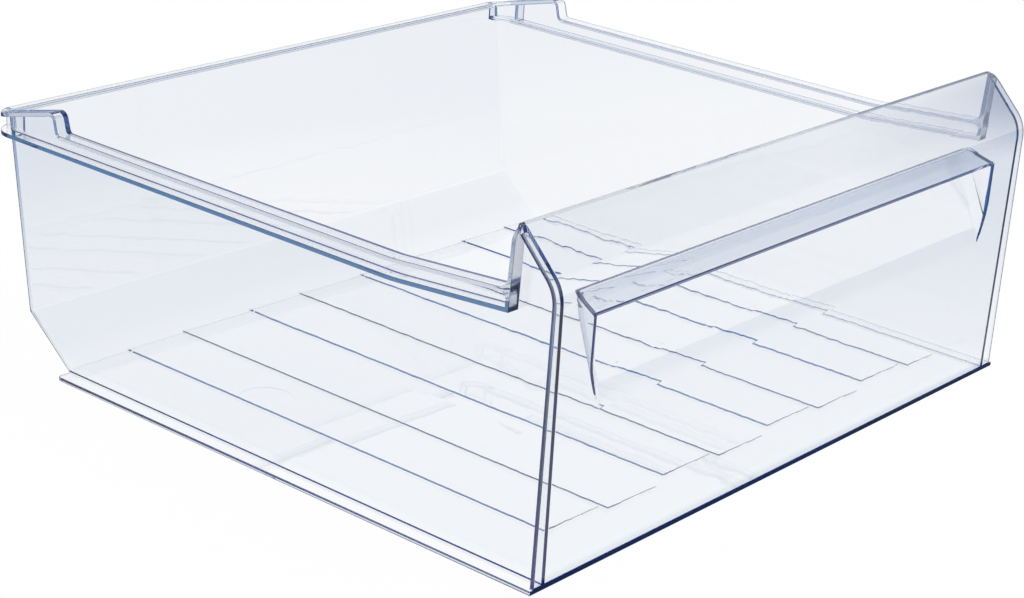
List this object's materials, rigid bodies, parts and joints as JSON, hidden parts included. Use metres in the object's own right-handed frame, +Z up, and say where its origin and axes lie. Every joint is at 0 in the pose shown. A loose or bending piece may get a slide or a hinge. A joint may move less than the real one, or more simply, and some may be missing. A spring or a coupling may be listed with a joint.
{
  "type": "drawer",
  "caption": "Clear refrigerator drawer, open on top, with a tall front that slopes back above a wide finger pocket, rails along both sides and shallow wedge strips on its floor.",
  "frame": {"origin": "middle of the underside, under the middle of the overall box", "axes": "+Z up, front of the drawer faces -Y, +X to the right seen from the front"},
  "size_m": [0.44, 0.4099, 0.1816],
  "materials": {
    "clear_plastic": "polished, clear with a faint blue tint"
  },
  "bodies": {
    "root": {"finger_pocket": "clear_plastic", "floor_plate": "clear_plastic", "floor_strip_1": "clear_plastic", "floor_strip_2": "clear_plastic", "floor_strip_3": "clear_plastic", "floor_strip_4": "clear_plastic", "floor_strip_5": "clear_plastic", "floor_strip_6": "clear_plastic", "floor_strip_7": "clear_plastic", "floor_strip_8": "clear_plastic", "front_panel": "clear_plastic", "left_front_tab": "clear_plastic", "left_guide_rail": "clear_plastic", "left_rear_rib": "clear_plastic", "left_rim_rail": "clear_plastic", "left_side_rib": "clear_plastic", "left_side_wall": "clear_plastic", "rear_ramp": "clear_plastic", "rear_rim_rail": "clear_plastic", "rear_wall": "clear_plastic", "right_front_tab": "clear_plastic", "right_guide_rail": "clear_plastic", "right_rear_rib": "clear_plastic", "right_rim_rail": "clear_plastic", "right_side_rib": "clear_plastic", "right_side_wall": "clear_plastic"}
  },
  "joints": []
}
